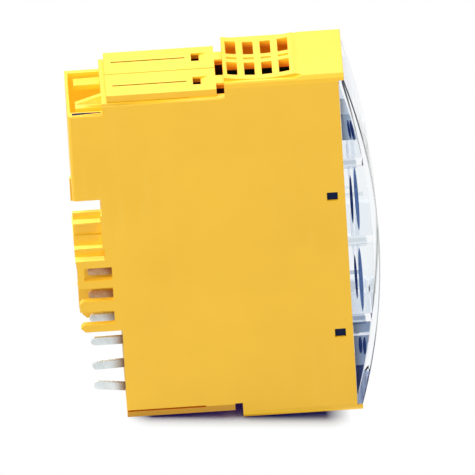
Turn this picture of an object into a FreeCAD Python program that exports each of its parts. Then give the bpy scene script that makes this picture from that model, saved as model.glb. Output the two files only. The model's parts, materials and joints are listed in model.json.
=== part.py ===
import FreeCAD, Part
import Sketcher
import operator
import os
from types import SimpleNamespace

# Safe output module: a two-unit slice of a modular control system.
# x runs from the rear (bus side) to the clear front, y across the width, z up.
# The origin is the middle of the footprint, on the floor of the front block.
# Positions along x are written from the rearmost point and shifted by half the depth.

DIMENSIONS = {
    # overall
    "depth": 78.4,
    "unit_width": 12.5,
    "height": 99.0,
    "wall": 1.8,
    # front block: the taller front part of the housing, with its lips over the clear cover
    "block_length": 29.4,
    "step_wall": 1.0,
    "lip_reach": 1.4,
    "bevel_rise": 2.1,
    "bevel_run": 0.95,
    "bevel_knee_drop": 1.0,
    "bevel_knee_run": 0.25,
    "edge_radius": 0.8,
    # rear body and the latch tongues, as steps down from the block's top and up from its floor
    "rear_inset": 11.1,
    "ledge_step": 4.5,
    "strip_step": 2.5,
    "tongue_gap": 0.12,
    "tongue_thickness": 1.5,
    "tongue_setback": 1.3,
    "tongue_slit": 20.9,
    "tongue_notch": 2.0,
    "tongue_inset": 1.0,
    "joint_gap": 0.3,
    "neck_width": 4.2,
    "neck_margin": 2.1,
    "key_setback": 3.9,
    "key_length": 2.0,
    "key_width": 4.0,
    "key_depth": 3.3,
    "ramp_length": 1.9,
    "ramp_drop": 0.6,
    "groove_setback": 1.8,
    "groove_width": 0.5,
    "groove_depth": 0.5,
    # vent grille in the block's roof and floor
    "vent_slot": 2.7,
    "vent_pitch": 4.47,
    "vent_margin": 3.7,
    "vent_rim": 2.2,
    "rim_groove_width": 0.45,
    "rim_groove_drop": 1.0,
    "vent_rise": 0.35,
    "vent_inset": 1.6,
    "vent_strip_drop": 0.6,
    "vent_dip": 0.85,
    "vent_ramp": 2.1,
    "vent_bar": 0.9,
    "vent_roof": 2.4,
    # rear hook, the rail slot under it and the bus connector's box
    "hook_inset": 0.3,
    "hook_length": 8.9,
    "hook_drop": 7.2,
    "hook_wall": 2.1,
    "hook_back": 0.7,
    "hook_floor": 11.0,
    "guide_setback": 2.1,
    "guide_inner": 5.9,
    "guide_middle": 7.4,
    "guide_outer": 9.5,
    "guide_rise": 0.6,
    "guide_thickness": 1.4,
    "far_guide_drop": 1.1,
    "rail_slot_level": 62.0,
    "rail_slot_height": 4.8,
    "rail_slot_depth": 7.25,
    "box_height": 13.1,
    "box_wall": 3.9,
    "recess_depth": 2.5,
    "recess_length": 7.2,
    "box_floor": 1.0,
    "band_height": 1.8,
    "recess_drop": 9.3,
    "recess_height": 7.0,
    "shelf_height": 3.0,
    "shelf_thickness": 0.6,
    "key_slot_drop": 13.0,
    "key_slot_height": 2.95,
    "key_slot_length": 7.7,
    "far_gap_rise": 1.1,
    "far_gap_height": 5.3,
    # comb-like guard beside the blades
    "guard_inset": 0.5,
    "guard_slope": 1.9,
    "guard_corner": 1.2,
    "guard_inner": 1.8,
    "inner_wall_drop": 1.6,
    "inner_wall_setback": 0.7,
    "guard_bar": 2.2,
    "window_setback": 1.8,
    "window_height": 3.7,
    "window_rise": 3.2,
    "first_window_drop": 0.9,
    "window_corner": 0.9,
    "window_back": 1.6,
    # blade contacts and their carriers
    "blade_drop": 6.2,
    "blade_floor_gap": 3.8,
    "blade_height": 2.2,
    "blade_thickness": 0.8,
    "blade_reach": 8.1,
    "blade_tail": 8.5,
    "carrier_margin": 0.6,
    "carrier_inner": 3.5,
    "carrier_outer": 9.0,
    "carrier_rim": 1.0,
    "carrier_flange": 0.75,
    # circuit boards on moulded posts
    "board_thickness": 1.6,
    "board_gap": 0.2,
    "board_setback": 3.3,
    "board_margin": 1.0,
    "post_inset": 5.0,
    "post_diameter": 4.0,
    "peg_diameter": 2.0,
    "peg_proud": 0.3,
    # bus connector
    "bus_setback": 0.4,
    "bus_gap": 0.3,
    "bus_slot_gap": 0.9,
    "bus_slot_width": 2.0,
    "bus_contact_fit": 0.2,
    "bus_contact_thickness": 0.5,
    "bus_contact_setback": 2.5,
    "bus_contact_tail": 5.0,
    # parts on the boards
    "link_along": 0.305,
    "link_up": 0.755,
    "link_length": 5.0,
    "link_height": 26.0,
    "link_key_thickness": 1.4,
    "link_key_margin": 1.2,
    "link_key_depth": 4.0,
    "chip_along": 0.667,
    "chip_up": 0.506,
    "chip_side": 12.0,
    "chip_thickness": 1.4,
    "driver_along": 0.843,
    "driver_length": 9.0,
    "driver_height": 10.0,
    "driver_thickness": 2.3,
    "driver_tab": 1.5,
    "driver_tab_thickness": 0.8,
    "driver_low_up": 0.2,
    "driver_high_up": 0.79,
    "can_along": 0.52,
    "can_up": 0.86,
    "can_diameter": 8.0,
    "can_length": 6.0,
    "coil_along": 0.52,
    "coil_up": 0.2,
    "coil_length": 13.0,
    "coil_height": 11.0,
    "coil_thickness": 5.5,
    "coil_core": 3.0,
    # lamps, light guide and front panel
    "lamp_pitch": 16.0,
    "lamp_length": 3.0,
    "lamp_height": 1.6,
    "lamp_thickness": 1.5,
    "guide_bar_margin": 4.0,
    "guide_bar_width": 2.0,
    "guide_bar_gap": 0.3,
    "guide_pipe_side": 2.0,
    "guide_pipe_proud": 0.1,
    "panel_thickness": 1.6,
    "panel_setback": 0.2,
    # blank label sheet and the slender clips beside it
    "label_margin": 2.9,
    "label_end": 3.0,
    "clip_inner": 8.2,
    "clip_thickness": 0.8,
    "clip_width": 0.9,
    "clip_stand": 1.6,
    "clip_height": 13.0,
    "clip_short": 5.0,
    "clip_web_gap": 3.5,
    "clip_foot": 0.7,
    "clip_foot_inset": 1.2,
    # clear front cover
    "lens_bulge": 8.1,
    "lens_end": 1.4,
    "lens_wall": 1.6,
    "lens_side": 1.4,
    "lens_cap": 1.5,
    "web_thickness": 2.4,
    "web_pitch": 22.9,
    "catch_setback": 4.7,
    "catch_length": 2.8,
    "catch_height": 2.5,
    "catch_high_rise": 13.8,
    "catch_low_drop": 26.3,
    "catch_arm": 1.2,
    "catch_foot": 1.4,
    "catch_sink": 0.6,
    # fits
    "clearance": 0.1,
    "overrun": 1.0,
}
VENTS = 4
BLADES = 6
WINDOWS = 3
BUS_CONTACTS = 4
LAMPS = 5
ALONG_Y = FreeCAD.Rotation(FreeCAD.Vector(1, 0, 0), -90)
BLADE_BENDS = (0, 0, 0, 0, -2, 7)     # degrees; the lowest two near blades are knocked out of line

doc = FreeCAD.newDocument("safe_output_module")
sheet = doc.addObject("Spreadsheet::Sheet", "Dimensions")
for row, (alias, number) in enumerate(DIMENSIONS.items(), start=1):
    sheet.set("A%d" % row, alias.replace("_", " "))
    sheet.set("B%d" % row, str(number))
    sheet.setAlias("B%d" % row, alias)
doc.recompute()


class Size:
    """A length that carries its formula in the sheet's names beside its present value."""

    def __init__(self, formula, value):
        self.formula = formula
        self.value = value

    def join(self, sign, action, other):
        if not isinstance(other, Size):
            other = Size(repr(other), other)
        formula = "(%s %s %s)" % (self.formula, sign, other.formula)
        return Size(formula, action(self.value, other.value))

    def __add__(self, other):
        return self.join("+", operator.add, other)

    def __sub__(self, other):
        return self.join("-", operator.sub, other)

    def __mul__(self, other):
        return self.join("*", operator.mul, other)

    def __truediv__(self, other):
        return self.join("/", operator.truediv, other)

    def __neg__(self):
        return self * -1


d = SimpleNamespace(**{name: Size("Dimensions." + name, sheet.get(name)) for name in DIMENSIONS})
zero = Size("0", 0)
nodes = []

# Positions along x, from the rearmost point
front = d.depth - d.lens_bulge
lip_front = front + d.lip_reach
block_rear = front - d.block_length
body_rear = d.rear_inset
cavity_rear = body_rear + d.wall
hook_rear = d.hook_inset
hook_front = d.hook_inset + d.hook_length
tongue_rear = hook_front + d.tongue_setback
tongue_front = block_rear - d.tongue_notch
slit_front = tongue_rear + d.tongue_slit
rail_slot_front = hook_rear + d.rail_slot_depth
vent_start = block_rear + d.step_wall
vent_front = vent_start + d.vent_pitch * (VENTS - 1) + d.vent_slot + d.vent_bar
bus_rear = rail_slot_front + d.bus_setback
board_rear = cavity_rear + d.carrier_flange + d.board_gap
board_front = front - d.board_setback
panel_front = front - d.panel_setback
panel_rear = panel_front - d.panel_thickness

# Levels
ledge_top = d.height - d.ledge_step
tongue_top = d.height - d.strip_step
tongue_under = ledge_top + d.tongue_gap
hook_top = d.height - d.hook_drop
rail_slot_top = d.rail_slot_level + d.rail_slot_height
hook_floor = rail_slot_top + d.hook_floor
box_foot = d.rail_slot_level - d.box_height
blade_top = box_foot - d.blade_drop
blade_low = d.ledge_step + d.blade_floor_gap
middle_level = d.height / 2
catch_levels = (middle_level - d.catch_low_drop, middle_level + d.catch_high_rise)
cavity_low = d.ledge_step + d.wall
cavity_high = ledge_top - d.wall
board_low = cavity_low + d.board_margin
board_high = cavity_high - d.board_margin

# Distances from the mid-plane
inner_face = d.unit_width - d.wall
unit_middle = d.unit_width / 2
board_inner = unit_middle + d.blade_thickness / 2
board_outer = board_inner + d.board_thickness
lamp_middle = board_inner - d.lamp_thickness / 2


def rectangle(h, v):
    """Corners of a rectangle from its low and high values in the sketch's two directions."""
    return [(h[0], v[0]), (h[1], v[0]), (h[1], v[1]), (h[0], v[1])]


def pin(sketch, item, end, h, v):
    """Fix one point of a sketch at (h, v), bound to the sheet."""
    for kind, axis, size in (("DistanceX", -2, h), ("DistanceY", -1, v)):
        if size.value == 0:
            sketch.addConstraint(Sketcher.Constraint("PointOnObject", item, end, axis))
        elif size.value > 0:
            rule = sketch.addConstraint(Sketcher.Constraint(kind, -1, 1, item, end, size.value))
            sketch.setExpression("Constraints[%d]" % rule, size.formula)
        else:
            rule = sketch.addConstraint(Sketcher.Constraint(kind, item, end, -1, 1, -size.value))
            sketch.setExpression("Constraints[%d]" % rule, (-size).formula)


def draw_sketch(body, role, offset, loops=(), circles=()):
    """A sketch on one of the body's origin planes, with straight loops and (h, v, radius) circles."""
    sketch = body.newObject("Sketcher::SketchObject", body.Name + "_sketch")
    plane = [item for item in body.Origin.OriginFeatures if item.Role == role][0]
    sketch.AttachmentSupport = [(plane, "")]
    sketch.MapMode = "FlatFace"
    sketch.setExpression("AttachmentOffset.Base.z", offset.formula)
    for loop in loops:
        first = sketch.GeometryCount
        count = len(loop)
        for index, (h, v) in enumerate(loop):
            next_h, next_v = loop[(index + 1) % count]
            start = FreeCAD.Vector(h.value, v.value, 0)
            end = FreeCAD.Vector(next_h.value, next_v.value, 0)
            sketch.addGeometry(Part.LineSegment(start, end), False)
        for index, (h, v) in enumerate(loop):
            following = first + (index + 1) % count
            sketch.addConstraint(Sketcher.Constraint("Coincident", first + index, 2, following, 1))
            pin(sketch, first + index, 1, h, v)
    for h, v, radius in circles:
        centre = FreeCAD.Vector(h.value, v.value, 0)
        circle = Part.Circle(centre, FreeCAD.Vector(0, 0, 1), radius.value)
        item = sketch.addGeometry(circle, False)
        pin(sketch, item, 3, h, v)
        rule = sketch.addConstraint(Sketcher.Constraint("Radius", item, radius.value))
        sketch.setExpression("Constraints[%d]" % rule, radius.formula)
    return sketch


def feature(body, kind, sketch, length, reverse):
    """A Pad or Pocket of a sketch."""
    step = body.newObject("PartDesign::" + kind, body.Name + "_" + kind.lower())
    step.Profile = sketch
    step.setExpression("Length", length.formula)
    step.Reversed = reverse
    return step


def new_body(name):
    body = doc.addObject("PartDesign::Body", name)
    body.setExpression("Placement.Base.x", (-(d.depth / 2)).formula)
    return body


def node(item, name):
    item.Label = name
    nodes.append(item)
    return item


def block(name, x, y, z):
    """A box from its low and high values along each axis."""
    box = doc.addObject("Part::Box", name)
    for side, (low, high) in zip(("Length", "Width", "Height"), (x, y, z)):
        box.setExpression(side, (high - low).formula)
    for axis, low in zip("xyz", (x[0] - d.depth / 2, y[0], z[0])):
        box.setExpression("Placement.Base." + axis, low.formula)
    return box


def rod(name, radius, length, x, y, z):
    """A cylinder along y, from one end at (x, y, z)."""
    cylinder = doc.addObject("Part::Cylinder", name)
    cylinder.Placement = FreeCAD.Placement(FreeCAD.Vector(0, 0, 0), ALONG_Y)
    cylinder.setExpression("Radius", radius.formula)
    cylinder.setExpression("Height", length.formula)
    for axis, place in zip("xyz", (x - d.depth / 2, y, z)):
        cylinder.setExpression("Placement.Base." + axis, place.formula)
    return cylinder


def fuse(name, items):
    joined = doc.addObject("Part::MultiFuse", name)
    joined.Shapes = items
    joined.Refine = True
    return joined


def cut(name, base, tools):
    result = doc.addObject("Part::Cut", name)
    result.Base = base
    result.Tool = tools[0] if len(tools) == 1 else fuse(name + "_tools", tools)
    return result


def common(name, first, second):
    result = doc.addObject("Part::Common", name)
    result.Base = first
    result.Tool = second
    return result


def group(name, items):
    """Separate solids of one node."""
    compound = doc.addObject("Part::Compound", name)
    compound.Links = items
    return compound


def across(side, low, high):
    """The y range at two distances from the mid-plane, on the near (-1) or far (1) side."""
    return (low, high) if side > 0 else (-high, -low)


def blade_level(index):
    return blade_top - (blade_top - blade_low) * index / (BLADES - 1)


def window_level(index):
    level = blade_level(index) + d.window_rise
    return level - d.first_window_drop if index == 0 else level


guard_foot = window_level(WINDOWS - 1) - d.window_height / 2 - d.guard_bar


# Housing half shells
def shell(name, side):
    body = new_body(name)
    far = side > 0

    def grow(role, offset, loops, length, inward=False, circles=()):
        sketch = draw_sketch(body, role, offset, loops, circles)
        return feature(body, "Pad", sketch, length, far != inward if role == "XZ_Plane" else False)

    def hollow(loops, length, circles=()):
        """Cut outward from the mid-plane."""
        return feature(body, "Pocket", draw_sketch(body, "XZ_Plane", zero, loops, circles), length, not far)

    def sink(loops, depth):
        """Cut inward from the flat outer face."""
        offset = d.unit_width * -side
        return feature(body, "Pocket", draw_sketch(body, "XZ_Plane", offset, loops), depth, far)

    def drop(level, loops, depth, upward=False):
        """Cut down, or up, from a level."""
        return feature(body, "Pocket", draw_sketch(body, "XY_Plane", level, loops), depth, upward)

    # side profile: front block with lips, ledges, hook, rail slot, connector box and guard
    profile = [
        (body_rear, d.strip_step),
        (tongue_front, d.strip_step),
        (tongue_front, d.ledge_step),
        (block_rear, d.ledge_step),
        (block_rear, zero),
        (lip_front, zero),
        (lip_front, d.wall),
        (front, d.wall),
        (front, d.height - d.wall),
        (lip_front, d.height - d.wall),
        (lip_front, d.height),
        (block_rear, d.height),
        (block_rear, ledge_top),
        (hook_front, ledge_top),
        (hook_front, hook_top),
        (hook_rear, hook_top),
        (hook_rear, rail_slot_top),
        (rail_slot_front, rail_slot_top),
        (rail_slot_front, d.rail_slot_level),
        (zero, d.rail_slot_level),
        (zero, box_foot),
        (d.guard_inset, box_foot - d.guard_slope),
        (d.guard_inset, guard_foot + d.guard_corner),
        (d.guard_inset + d.guard_corner, guard_foot),
        (body_rear, guard_foot),
    ]
    grow("XZ_Plane", zero, [profile], d.unit_width)

    # main cavity, open at the front, under a thicker roof where the vents are
    cavity = [
        (cavity_rear, cavity_low),
        (vent_start, cavity_low),
        (vent_start, d.vent_roof),
        (vent_front, d.vent_roof),
        (vent_front, d.wall),
        (lip_front + d.overrun, d.wall),
        (lip_front + d.overrun, d.height - d.wall),
        (vent_front, d.height - d.wall),
        (vent_front, d.height - d.vent_roof),
        (vent_start, d.height - d.vent_roof),
        (vent_start, cavity_high),
        (cavity_rear, cavity_high),
    ]
    hollow([cavity], inner_face)

    # bay round the blades, between the guard and a wall at the mid-plane, open at the rear and below
    bay = rectangle((-d.overrun, body_rear), (guard_foot - d.overrun, box_foot - d.guard_slope))
    bay_sketch = draw_sketch(body, "XZ_Plane", d.guard_inner * -side, [bay])
    feature(body, "Pocket", bay_sketch, inner_face - d.guard_inner, not far)
    wall_rear = d.guard_inset + d.inner_wall_setback
    wall_foot = guard_foot - d.inner_wall_drop
    inner_wall = [
        (wall_rear, wall_foot + d.guard_corner),
        (wall_rear + d.guard_corner, wall_foot),
        (body_rear + d.clearance, wall_foot),
        (body_rear + d.clearance, guard_foot + d.guard_corner),
        (wall_rear, guard_foot + d.guard_corner),
    ]
    grow("XZ_Plane", zero, [inner_wall], d.guard_inner)

    # open bay of the bus plug between its side walls, and the connector's way through the rear wall
    box_inner = d.unit_width - d.box_wall
    plug_bay = rectangle((-d.overrun, rail_slot_front), (box_foot + d.box_floor, rail_slot_top))
    hollow([plug_bay], box_inner)
    box_levels = (box_foot + d.wall, d.rail_slot_level - d.wall)
    hollow([rectangle((rail_slot_front - d.overrun, cavity_rear + d.overrun), box_levels)], box_inner)
    if far:
        gap_foot = box_foot + d.far_gap_rise
        gap = rectangle((-d.overrun, rail_slot_front), (gap_foot, gap_foot + d.far_gap_height))
        hollow([gap], d.unit_width + d.overrun)

    # pocket behind the hook's walls, with its guide: a step and a ramp on the near side, a rail on the far
    pocket_y = across(side, -d.overrun, d.unit_width - d.hook_wall)
    drop(hook_top, [rectangle((hook_rear + d.hook_back, hook_front), pocket_y)], hook_top - hook_floor)
    guide_rear = hook_rear + d.guide_setback
    guide_front = hook_front + d.overrun
    guide_top = hook_top - d.far_guide_drop if far else hook_top + d.guide_rise
    guide = rectangle((guide_rear, guide_front), (guide_top - d.guide_thickness, guide_top))
    grow("XZ_Plane", d.guide_inner * -side, [guide], d.guide_outer - d.guide_inner)
    if not far:
        ramp_up = [
            (guide_rear, guide_top - d.clearance),
            (guide_front, guide_top - d.clearance),
            (guide_front, ledge_top),
            (hook_front, ledge_top),
            (guide_rear, guide_top),
        ]
        grow("XZ_Plane", d.guide_inner * -side, [ramp_up], d.guide_middle - d.guide_inner)

    # recesses in the outer face beside the connector
    recess_x = (-d.overrun, d.recess_length)
    recess_foot = d.rail_slot_level - d.recess_drop
    recess_levels = (recess_foot, recess_foot + d.recess_height)
    key_foot = d.rail_slot_level - d.key_slot_drop
    key_levels = (key_foot, key_foot + d.key_slot_height)
    key_x = (-d.overrun, d.key_slot_length)
    band_levels = (d.rail_slot_level - d.band_height, d.rail_slot_level + d.overrun)
    sink([rectangle(recess_x, recess_levels)], d.recess_depth - d.shelf_thickness)
    shelf_levels = (recess_foot + d.shelf_height, recess_foot + d.recess_height)
    sink([rectangle(recess_x, shelf_levels)], d.recess_depth)
    sink([rectangle(key_x, key_levels), rectangle(recess_x, band_levels)], d.recess_depth)

    # windows for the clear cover's catches and, in the guard, beside the blades
    catch_x = (front - d.catch_setback, front - d.catch_setback + d.catch_length)
    windows = []
    for level in catch_levels:
        windows.append(rectangle(catch_x, (level - d.catch_height / 2, level + d.catch_height / 2)))
    window_front = body_rear - d.window_setback
    for index in range(WINDOWS):
        sill = window_level(index) - d.window_height / 2
        head = window_level(index) + d.window_height / 2
        if index == 0:
            windows.append(rectangle((d.guard_inset + d.window_back, window_front), (sill, head)))
            continue
        windows.append([
            (-d.overrun, sill - d.window_corner),
            (d.guard_inset, sill - d.window_corner),
            (d.guard_inset + d.window_corner, sill),
            (window_front, sill),
            (window_front, head),
            (-d.overrun, head),
        ])
    sink(windows, d.wall + d.overrun)

    # lower latch tongue, freed from the body by a slit, and the upper one on the ledge
    slit_levels = (d.strip_step + d.tongue_thickness, d.ledge_step)
    hollow([rectangle((body_rear - d.overrun, slit_front), slit_levels)], d.unit_width + d.overrun)
    tongue = [
        (tongue_rear, tongue_under),
        (slit_front, tongue_under),
        (slit_front, ledge_top),
        (tongue_front, ledge_top),
        (tongue_front, tongue_top),
        (tongue_rear, tongue_top),
    ]
    half_gap = d.joint_gap / 2
    grow("XZ_Plane", half_gap * -side, [tongue], d.unit_width - d.tongue_inset - half_gap)

    # necks from the tongues to the block, and the openings beside the upper one
    neck_y = across(side, unit_middle - d.neck_width / 2, unit_middle + d.neck_width / 2)
    neck = rectangle((tongue_front - d.clearance, block_rear + d.clearance), neck_y)
    grow("XY_Plane", tongue_under, [neck], tongue_top - tongue_under)
    grow("XY_Plane", d.strip_step, [neck], d.tongue_thickness)
    gap_x = (tongue_front, block_rear)
    gaps = [
        rectangle(gap_x, across(side, -d.overrun, unit_middle - d.neck_width / 2)),
        rectangle(gap_x, across(side, unit_middle + d.neck_width / 2, d.unit_width - d.neck_margin)),
    ]
    drop(ledge_top, gaps, d.wall + d.overrun)

    # blind key hole with its lead-in ramp, and the long groove
    key_front = tongue_front - d.key_setback
    key_y = across(side, unit_middle - d.key_width / 2, unit_middle + d.key_width / 2)
    drop(tongue_top, [rectangle((key_front - d.key_length, key_front), key_y)], d.key_depth)
    ramp = [
        (key_front - d.clearance, tongue_top),
        (key_front - d.clearance, tongue_top - d.ramp_drop),
        (key_front + d.ramp_length, tongue_top),
    ]
    ramp_offset = (unit_middle - d.key_width / 2) * -side
    ramp_sketch = draw_sketch(body, "XZ_Plane", ramp_offset, [ramp])
    feature(body, "Pocket", ramp_sketch, d.key_width, not far)
    groove_y = across(side, unit_middle - d.groove_width / 2, unit_middle + d.groove_width / 2)
    drop(tongue_top, [rectangle((tongue_rear + d.groove_setback, slit_front), groove_y)], d.groove_depth)

    # vent pad with its scooped crown and a low strip beside it, then the slots through roof and floor
    crest = d.height + d.vent_rise
    pad_front = vent_front + d.vent_ramp
    pad = [
        (block_rear, d.height - d.clearance),
        (pad_front, d.height - d.clearance),
        (pad_front, d.height),
        (vent_front, crest),
        (block_rear, crest),
    ]
    pad_reach = d.unit_width - d.vent_inset
    grow("XZ_Plane", zero, [pad], pad_reach)
    half_scoop = (vent_front - block_rear) / 2
    scoop_radius = (half_scoop * half_scoop + d.vent_dip * d.vent_dip) / (d.vent_dip * 2)
    scoop = (block_rear + half_scoop, crest - d.vent_dip + scoop_radius, scoop_radius)
    hollow([], pad_reach, [scoop])
    strip_level = d.height - d.vent_strip_drop
    strip = [
        (block_rear - d.overrun, strip_level),
        (vent_front, strip_level),
        (pad_front, d.height),
        (pad_front, crest),
        (block_rear - d.overrun, crest),
    ]
    strip_sketch = draw_sketch(body, "XZ_Plane", pad_reach * -side, [strip])
    feature(body, "Pocket", strip_sketch, d.vent_inset + d.overrun, not far)
    vent_y = across(side, d.vent_rim, d.unit_width - d.vent_margin)
    slots = []
    for index in range(VENTS):
        slot_rear = vent_start + d.vent_pitch * index
        slots.append(rectangle((slot_rear, slot_rear + d.vent_slot), vent_y))
    drop(crest, slots, d.vent_rise + d.vent_roof + d.overrun)
    groove_reach = across(side, -d.overrun, d.rim_groove_width)
    grooves = []
    for index in range(VENTS):
        slot_rear = vent_start + d.vent_pitch * index
        grooves.append(rectangle((slot_rear, slot_rear + d.vent_slot), groove_reach))
    drop(crest, grooves, d.vent_rise + d.rim_groove_drop)
    drop(zero, slots, d.vent_roof + d.overrun, upward=True)

    # steep bevels along the block's outer edges
    face = d.unit_width * side
    bevel_y = (d.unit_width - d.bevel_run) * side
    knee_y = (d.unit_width - d.bevel_knee_run) * side
    knee_level = d.height - d.bevel_knee_drop
    bevels = [
        [(face, d.height - d.bevel_rise), (knee_y, knee_level), (bevel_y, d.height), (face, d.height)],
        [(face, d.bevel_rise), (knee_y, d.bevel_knee_drop), (bevel_y, zero), (face, zero)],
    ]
    for bevel in bevels:
        bevel_sketch = draw_sketch(body, "YZ_Plane", block_rear - d.overrun, [bevel])
        feature(body, "Pocket", bevel_sketch, d.block_length + d.lip_reach + d.overrun * 2, True)

    # opening for the contact carrier
    carrier_y = across(side, d.carrier_inner, d.carrier_outer)
    carrier_levels = carrier_span()
    opening = draw_sketch(body, "YZ_Plane", body_rear - d.overrun, [rectangle(carrier_y, carrier_levels)])
    feature(body, "Pocket", opening, d.wall + d.overrun * 2, True)

    # posts that carry the board, with pegs through its holes
    post_offset = (inner_face + d.clearance) * -side
    post_length = inner_face + d.clearance - board_outer
    posts = [(x, z, d.post_diameter / 2) for x, z in board_holes()]
    grow("XZ_Plane", post_offset, [], post_length, inward=True, circles=posts)
    pegs = [(x, z, d.peg_diameter / 2) for x, z in board_holes()]
    peg_length = post_length + d.board_thickness + d.peg_proud
    grow("XZ_Plane", post_offset, [], peg_length, inward=True, circles=pegs)

    # rounded outer edges at the hook and the ledge
    doc.recompute()
    outer = d.unit_width.value
    tip = body.Tip
    rounded = []
    for number, edge in enumerate(tip.Shape.Edges, start=1):
        middle = edge.BoundBox.Center
        if abs(abs(middle.y) - outer) > 0.01 or edge.BoundBox.YLength > 0.01:
            continue
        on_ledge = abs(middle.z - ledge_top.value) < 0.01 and middle.x < block_rear.value
        on_hook_top = abs(middle.z - hook_top.value) < 0.01 and middle.x < hook_front.value
        on_hook_rear = abs(middle.x - hook_rear.value) < 0.01 and middle.z > rail_slot_top.value
        if on_ledge or on_hook_top or on_hook_rear:
            rounded.append("Edge%d" % number)
    fillet = body.newObject("PartDesign::Fillet", name + "_fillet")
    fillet.Base = (tip, rounded)
    fillet.setExpression("Radius", d.edge_radius.formula)
    body.Tip = fillet
    return node(body, name)


def carrier_span():
    """Levels of the carrier's opening, round the whole column of blades."""
    half = d.blade_height / 2 + d.carrier_margin
    return (blade_low - half, blade_top + half)


def board_holes():
    ends = (board_rear + d.post_inset, board_front - d.post_inset)
    levels = (board_low + d.post_inset, board_high - d.post_inset)
    return [(x, z) for x in ends for z in levels]


# Boards
def board(name, side):
    body = new_body(name)
    outline = rectangle((board_rear, board_front), (board_low, board_high))
    holes = [(x, z, d.peg_diameter / 2 + d.clearance) for x, z in board_holes()]
    sketch = draw_sketch(body, "XZ_Plane", board_inner * -side, [outline], holes)
    feature(body, "Pad", sketch, d.board_thickness, side > 0)
    return node(body, name)


# Contact carrier: a block in the rear wall with a flange behind it, slotted for the blades
def carrier(name, side):
    fit = d.clearance
    low, high = carrier_span()
    levels = (low + fit, high - fit)
    inner = d.carrier_inner + fit
    outer = d.carrier_outer - fit
    plug = block(name + "_plug", (body_rear, cavity_rear), across(side, inner, outer), levels)
    flange_x = (cavity_rear, cavity_rear + d.carrier_flange)
    flange_y = across(side, inner - d.carrier_rim, outer + d.carrier_rim)
    flange = block(name + "_flange", flange_x, flange_y, levels)
    slots = []
    half_thick = d.blade_thickness / 2 + fit
    for index in range(BLADES):
        level = blade_level(index)
        half = d.blade_height / 2 + fit
        slot_x = (body_rear - d.overrun, cavity_rear + d.carrier_flange + d.overrun)
        slot_y = across(side, unit_middle - half_thick, unit_middle + half_thick)
        slots.append(block(name + "_slot", slot_x, slot_y, (level - half, level + half)))
    return node(cut(name, fuse(name + "_solid", [plug, flange]), slots), name)


# Blade contact: a flat tail on the board's inner face and a round-tipped blade out of the rear
def blade(name, side, index, bend):
    level = blade_level(index)
    half = d.blade_height / 2
    thick = across(side, unit_middle - d.blade_thickness / 2, unit_middle + d.blade_thickness / 2)
    tail = block(name + "_tail", (body_rear, body_rear + d.blade_tail), thick, (level - half, level + half))
    tip_middle = body_rear - d.blade_reach + half
    reach = block(name + "_reach", (tip_middle, body_rear), thick, (level - half, level + half))
    tip = rod(name + "_tip", half, d.blade_thickness, tip_middle, thick[0], level)
    exposed = fuse(name + "_exposed", [reach, tip])
    if bend:
        pivot_x = body_rear - d.depth / 2
        pivot = FreeCAD.Vector(pivot_x.value, 0, level.value)
        turn = FreeCAD.Rotation(FreeCAD.Vector(0, 1, 0), bend)
        exposed.Placement = FreeCAD.Placement(FreeCAD.Vector(0, 0, 0), turn, pivot)
    return node(fuse(name, [tail, exposed]), name)


# Bus connector with a column of contacts for each board
def bus_connector():
    fit = d.clearance
    half_width = d.unit_width - d.box_wall - fit
    levels = (box_foot + d.wall + fit, d.rail_slot_level - d.wall - fit)
    span_x = (bus_rear, board_rear - d.bus_gap)
    body = block("bus_block", span_x, (-half_width, half_width), levels)
    pitch = (levels[1] - levels[0]) / BUS_CONTACTS
    half_slot = (pitch - d.bus_slot_gap) / 2
    half_contact = half_slot - d.bus_contact_fit
    slots = []
    contacts = []
    for side in (-1, 1):
        contact_y = across(side, board_inner - d.bus_contact_thickness, board_inner)
        slot_y = across(side, board_inner - d.bus_slot_width, board_inner + fit)
        for index in range(BUS_CONTACTS):
            level = levels[0] + pitch * (index + 0.5)
            slot_x = (bus_rear - d.overrun, board_rear + d.overrun)
            slots.append(block("bus_slot", slot_x, slot_y, (level - half_slot, level + half_slot)))
            contact_x = (bus_rear + d.bus_contact_setback, board_rear + d.bus_contact_tail)
            contacts.append(block("bus_contact", contact_x, contact_y,
                                  (level - half_contact, level + half_contact)))
    node(cut("bus_connector", body, slots), "bus_connector")
    node(group("bus_contacts", contacts), "bus_contacts")


def on_length(share):
    """A place along x at a share of the boards' length."""
    return board_rear + (board_front - board_rear) * share


def on_height(share):
    """A level at a share of the boards' height."""
    return board_low + (board_high - board_low) * share


# Header between the boards: a socket on the near one, a keyed plug on the far one
def board_link():
    middle = on_length(d.link_along)
    x = (middle - d.link_length / 2, middle + d.link_length / 2)
    link_level = on_height(d.link_up)
    levels = (link_level - d.link_height / 2, link_level + d.link_height / 2)
    fit = d.clearance
    half_key = d.link_key_thickness / 2
    key_levels = (levels[0] + d.link_key_margin, levels[1] - d.link_key_margin)
    socket = block("link_socket_block", x, (-board_inner, zero), levels)
    hole_x = (middle - half_key - fit, middle + half_key + fit)
    hole_levels = (key_levels[0] - fit, key_levels[1] + fit)
    hole = block("link_hole", hole_x, (-d.link_key_depth - fit, d.overrun), hole_levels)
    node(cut("board_link_socket", socket, [hole]), "board_link_socket")
    plug = block("link_plug_block", x, (zero, board_inner), levels)
    key = block("link_key", (middle - half_key, middle + half_key), (-d.link_key_depth, zero), key_levels)
    node(fuse("board_link_plug", [plug, key]), "board_link_plug")


# Parts that stand on a board's inner face
def on_board(side, thickness):
    return across(side, board_inner - thickness, board_inner)


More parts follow.
